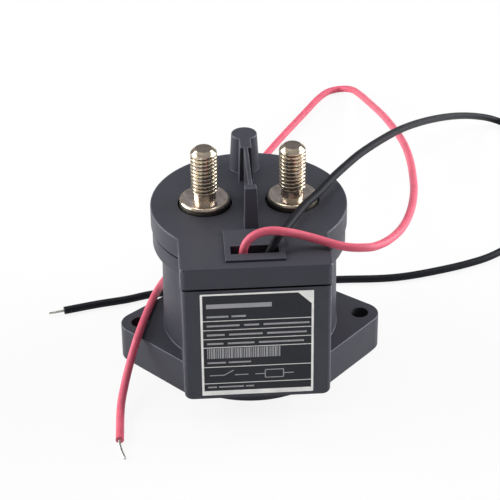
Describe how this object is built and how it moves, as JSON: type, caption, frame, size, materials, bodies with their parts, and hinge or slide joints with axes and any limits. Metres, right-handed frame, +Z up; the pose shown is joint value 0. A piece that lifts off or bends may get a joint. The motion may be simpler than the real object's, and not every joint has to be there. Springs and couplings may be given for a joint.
{
  "type": "high voltage dc contactor",
  "caption": "Sealed DC contactor: round charcoal housing with front block, lugged foot, threaded top terminals, lid barrier and loose coil leads; switches a high voltage DC circuit.",
  "frame": {"origin": "on the body's axis in the mounting plane, midway between the mounting holes", "axes": "+Z up along the body's axis and the studs, +X through the mounting holes and the terminals, -Y towards the nameplate"},
  "size_m": [0.1772, 0.2248, 0.0728],
  "materials": {
    "housing_plastic": "fine moulded texture",
    "lid_plastic": "fine moulded texture",
    "outlet_plastic": "satin",
    "seal_rubber": "matt",
    "nameplate_film": "satin black with silver lines",
    "terminal_metal": "nickel plated, turned",
    "ceramic": "white alumina",
    "bright_steel": "bright",
    "soft_iron": "zinc plated",
    "spring_steel": "drawn wire",
    "copper": "bare copper",
    "magnet": "dark ferrite",
    "bobbin_plastic": "satin",
    "board": "solder mask",
    "chip_plastic": "moulded",
    "capacitor_can": "sleeved",
    "red_insulation": "satin",
    "black_insulation": "satin",
    "tinned_copper": "twisted strands"
  },
  "bodies": {
    "body": {"housing": "housing_plastic", "lid": "lid_plastic", "seam_gasket": "seal_rubber", "lead_outlet": "outlet_plastic", "nameplate": "nameplate_film", "terminal_left": "terminal_metal", "terminal_right": "terminal_metal", "terminal_seals": "seal_rubber", "arc_chamber": "ceramic", "chamber_ring": "bright_steel", "blowout_magnets": "magnet", "gas_fill_tube": "copper", "yoke_cup": "soft_iron", "pole_plate": "soft_iron", "coil_bobbin": "bobbin_plastic", "coil_winding": "copper", "coil_pins": "tinned_copper", "core_tube": "bright_steel", "fixed_core": "soft_iron", "damper_pad": "seal_rubber", "return_spring": "spring_steel", "control_board": "board", "control_chip": "chip_plastic", "power_transistor": "chip_plastic", "input_capacitor": "capacitor_can", "red_lead": "red_insulation", "red_lead_strands": "tinned_copper", "black_lead": "black_insulation", "black_lead_strands": "tinned_copper"},
    "bridge": {"contact_bridge": "copper", "contact_spring": "spring_steel"},
    "armature": {"plunger_shaft": "bright_steel", "moving_core": "soft_iron", "spring_seat": "bright_steel", "retaining_clip": "spring_steel"}
  },
  "joints": [
    {"name": "contact_travel", "type": "slide", "parent": "body", "child": "bridge", "axis": [0, 0, 1], "range_m": [0, 0.0012], "stiffness_N_per_m": 400, "springref_m": -0.002, "deforming": ["return_spring"]},
    {"name": "contact_overtravel", "type": "slide", "parent": "bridge", "child": "armature", "axis": [0, 0, 1], "range_m": [0, 0.0006], "stiffness_N_per_m": 800, "springref_m": -0.002, "deforming": ["contact_spring"]}
  ]
}
